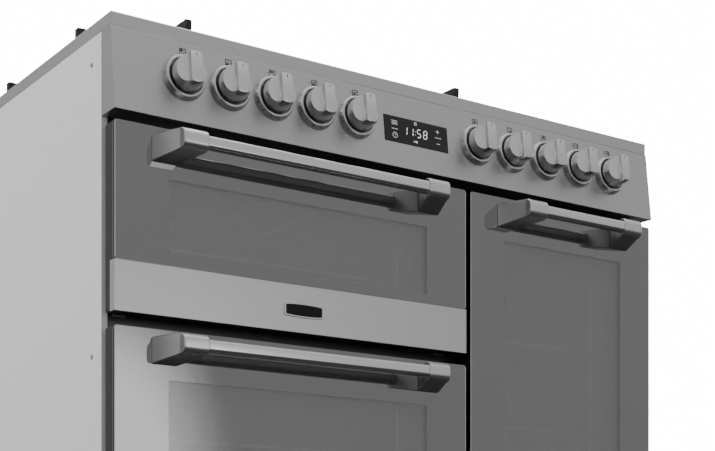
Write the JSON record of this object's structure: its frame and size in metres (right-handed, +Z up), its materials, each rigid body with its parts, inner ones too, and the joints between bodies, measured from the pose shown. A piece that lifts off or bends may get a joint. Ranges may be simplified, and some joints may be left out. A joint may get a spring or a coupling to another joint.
{
  "type": "range cooker",
  "caption": "Wide freestanding range cooker with a gas hob, an electric hotplate, a drop-down grill and oven beside a tall side-opening oven, in steel and black glass.",
  "frame": {"origin": "on the floor, under the middle of the cooker's whole box with its feet and door handles", "axes": "+X to the right seen from the front, +Y from the doors to the back, +Z up"},
  "size_m": [1, 0.666, 0.934],
  "materials": {
    "hob_steel": "brushed across the hob, satin",
    "panel_steel": "brushed along its width, satin",
    "band_steel": "brushed along its width, satin",
    "plinth_steel": "brushed along its width, satin",
    "handle_steel": "fine brushed, satin",
    "bracket_metal": "satin plated die casting",
    "bezel_metal": "satin, printed marks",
    "knob_metal": "satin plated, smooth",
    "side_paint": "silver grey powder coat, fine texture",
    "frame_black": "black enamel, semi gloss",
    "door_black": "black coated, satin",
    "motor_black": "black lacquer, satin",
    "zinc_sheet": "galvanised sheet, spangled",
    "zinc_bright": "bright zinc plate",
    "burner_alloy": "cast alloy, matt",
    "cap_enamel": "matt black enamel",
    "cast_support": "matt black enamelled casting",
    "gas_tube": "zinc plated tube",
    "tap_brass": "turned brass",
    "oven_enamel": "speckled grey vitreous enamel, gloss",
    "element_alloy": "oxidised sheath, matt",
    "wire_chrome": "chromed wire",
    "fan_sheet": "aluminised sheet",
    "door_glass": "black printed border, dark tinted window",
    "inner_glass": "clear",
    "display_glass": "black printed glass",
    "hotplate_glass": "black ceramic glass, gloss"
  },
  "bodies": {
    "body": {"hob_top": "hob_steel", "control_panel": "panel_steel", "knob_bezels": "bezel_metal", "timer_display": "display_glass", "side_panels": "side_paint", "back_panel": "zinc_sheet", "base_pan": "zinc_sheet", "front_frame": "frame_black", "plinth": "plinth_steel", "levelling_feet": "zinc_bright", "hinge_brackets": "zinc_bright", "burner_bodies": "burner_alloy", "burner_caps": "cap_enamel", "hotplate_glass": "hotplate_glass", "gas_pipes": "gas_tube", "control_valves": "tap_brass", "grill_cavity": "oven_enamel", "main_oven_cavity": "oven_enamel", "tall_oven_cavity": "oven_enamel", "heating_elements": "element_alloy", "shelf_rails": "wire_chrome", "oven_shelves": "wire_chrome", "fan_covers": "oven_enamel", "fan_motors": "motor_black"},
    "grill_door": {"grill_door_band": "band_steel", "grill_door_glass": "door_glass", "grill_door_inner_glass": "inner_glass", "grill_door_frame": "door_black", "grill_door_handle": "handle_steel", "grill_door_brackets": "bracket_metal"},
    "main_oven_door": {"main_door_glass": "door_glass", "main_door_inner_glass": "inner_glass", "main_door_frame": "door_black", "main_door_handle": "handle_steel", "main_door_brackets": "bracket_metal"},
    "tall_oven_door": {"tall_door_glass": "door_glass", "tall_door_inner_glass": "inner_glass", "tall_door_frame": "door_black", "tall_door_handle": "handle_steel", "tall_door_brackets": "bracket_metal"},
    "tap_rear_left": {"tap_plug_rear_left": "tap_brass"},
    "gas_knob_rear_left": {"knob_rear_left": "knob_metal"},
    "tap_front_left": {"tap_plug_front_left": "tap_brass"},
    "gas_knob_front_left": {"knob_front_left": "knob_metal"},
    "tap_wok": {"tap_plug_wok": "tap_brass"},
    "gas_knob_wok": {"knob_wok": "knob_metal"},
    "tap_front_right": {"tap_plug_front_right": "tap_brass"},
    "gas_knob_front_right": {"knob_front_right": "knob_metal"},
    "tap_rear_right": {"tap_plug_rear_right": "tap_brass"},
    "gas_knob_rear_right": {"knob_rear_right": "knob_metal"},
    "oven_knob_grill": {"knob_grill": "knob_metal"},
    "oven_knob_main_oven_function": {"knob_main_oven_function": "knob_metal"},
    "oven_knob_main_oven_heat": {"knob_main_oven_heat": "knob_metal"},
    "oven_knob_hotplate": {"knob_hotplate": "knob_metal"},
    "oven_knob_tall_oven": {"knob_tall_oven": "knob_metal"},
    "main_fan": {"main_oven_fan": "fan_sheet"},
    "tall_fan": {"tall_oven_fan": "fan_sheet"},
    "support_left": {"pan_support_left": "cast_support"},
    "support_centre": {"pan_support_centre": "cast_support"},
    "support_right": {"pan_support_right": "cast_support"}
  },
  "joints": [
    {"name": "grill_door_hinge", "type": "hinge", "parent": "body", "child": "grill_door", "pos_m": [-0.201, -0.256, 0.512], "axis": [1, 0, 0], "range_deg": [0, 90]},
    {"name": "main_oven_door_hinge", "type": "hinge", "parent": "body", "child": "main_oven_door", "pos_m": [-0.201, -0.256, 0.124], "axis": [1, 0, 0], "range_deg": [0, 90]},
    {"name": "tall_oven_door_hinge", "type": "hinge", "parent": "body", "child": "tall_oven_door", "pos_m": [0.4845, -0.262, 0.433], "axis": [0, 0, 1], "range_deg": [0, 100]},
    {"name": "rear_left_tap_turn", "type": "hinge", "parent": "body", "child": "tap_rear_left", "pos_m": [-0.395, -0.27308, 0.82785], "axis": [0, -0.9933, 0.1158], "range_deg": [0, 270]},
    {"name": "rear_left_knob_push", "type": "slide", "parent": "tap_rear_left", "child": "gas_knob_rear_left", "axis": [0, 0.9933, -0.1158], "range_m": [0, 0.0035], "stiffness_N_per_m": 1200},
    {"name": "front_left_tap_turn", "type": "hinge", "parent": "body", "child": "tap_front_left", "pos_m": [-0.3235, -0.27308, 0.82785], "axis": [0, -0.9933, 0.1158], "range_deg": [0, 270]},
    {"name": "front_left_knob_push", "type": "slide", "parent": "tap_front_left", "child": "gas_knob_front_left", "axis": [0, 0.9933, -0.1158], "range_m": [0, 0.0035], "stiffness_N_per_m": 1200},
    {"name": "wok_tap_turn", "type": "hinge", "parent": "body", "child": "tap_wok", "pos_m": [0.119, -0.27308, 0.82785], "axis": [0, -0.9933, 0.1158], "range_deg": [0, 270]},
    {"name": "wok_knob_push", "type": "slide", "parent": "tap_wok", "child": "gas_knob_wok", "axis": [0, 0.9933, -0.1158], "range_m": [0, 0.0035], "stiffness_N_per_m": 1200},
    {"name": "front_right_tap_turn", "type": "hinge", "parent": "body", "child": "tap_front_right", "pos_m": [0.1905, -0.27308, 0.82785], "axis": [0, -0.9933, 0.1158], "range_deg": [0, 270]},
    {"name": "front_right_knob_push", "type": "slide", "parent": "tap_front_right", "child": "gas_knob_front_right", "axis": [0, 0.9933, -0.1158], "range_m": [0, 0.0035], "stiffness_N_per_m": 1200},
    {"name": "rear_right_tap_turn", "type": "hinge", "parent": "body", "child": "tap_rear_right", "pos_m": [0.262, -0.27308, 0.82785], "axis": [0, -0.9933, 0.1158], "range_deg": [0, 270]},
    {"name": "rear_right_knob_push", "type": "slide", "parent": "tap_rear_right", "child": "gas_knob_rear_right", "axis": [0, 0.9933, -0.1158], "range_m": [0, 0.0035], "stiffness_N_per_m": 1200},
    {"name": "grill_turn", "type": "hinge", "parent": "body", "child": "oven_knob_grill", "pos_m": [-0.252, -0.27308, 0.82785], "axis": [0, -0.9933, 0.1158], "range_deg": [0, 270]},
    {"name": "main_oven_function_turn", "type": "hinge", "parent": "body", "child": "oven_knob_main_oven_function", "pos_m": [-0.1805, -0.27308, 0.82785], "axis": [0, -0.9933, 0.1158], "range_deg": [0, 315]},
    {"name": "main_oven_heat_turn", "type": "hinge", "parent": "body", "child": "oven_knob_main_oven_heat", "pos_m": [-0.109, -0.27308, 0.82785], "axis": [0, -0.9933, 0.1158], "range_deg": [-270, 0]},
    {"name": "hotplate_turn", "type": "hinge", "parent": "body", "child": "oven_knob_hotplate", "pos_m": [0.3335, -0.27308, 0.82785], "axis": [0, -0.9933, 0.1158], "range_deg": [-180, 180]},
    {"name": "tall_oven_turn", "type": "hinge", "parent": "body", "child": "oven_knob_tall_oven", "pos_m": [0.405, -0.27308, 0.82785], "axis": [0, -0.9933, 0.1158], "range_deg": [-270, 0]},
    {"name": "main_oven_fan_spin", "type": "hinge", "parent": "body", "child": "main_fan", "pos_m": [-0.201, 0.196, 0.2975], "axis": [0, 1, 0], "continuous": true},
    {"name": "tall_oven_fan_spin", "type": "hinge", "parent": "body", "child": "tall_fan", "pos_m": [0.30225, 0.196, 0.464], "axis": [0, 1, 0], "continuous": true},
    {"name": "pan_support_left_lift", "type": "slide", "parent": "body", "child": "support_left", "axis": [0, 0, 1], "range_m": [0, 0.15]},
    {"name": "pan_support_centre_lift", "type": "slide", "parent": "body", "child": "support_centre", "axis": [0, 0, 1], "range_m": [0, 0.15]},
    {"name": "pan_support_right_lift", "type": "slide", "parent": "body", "child": "support_right", "axis": [0, 0, 1], "range_m": [0, 0.15]}
  ]
}
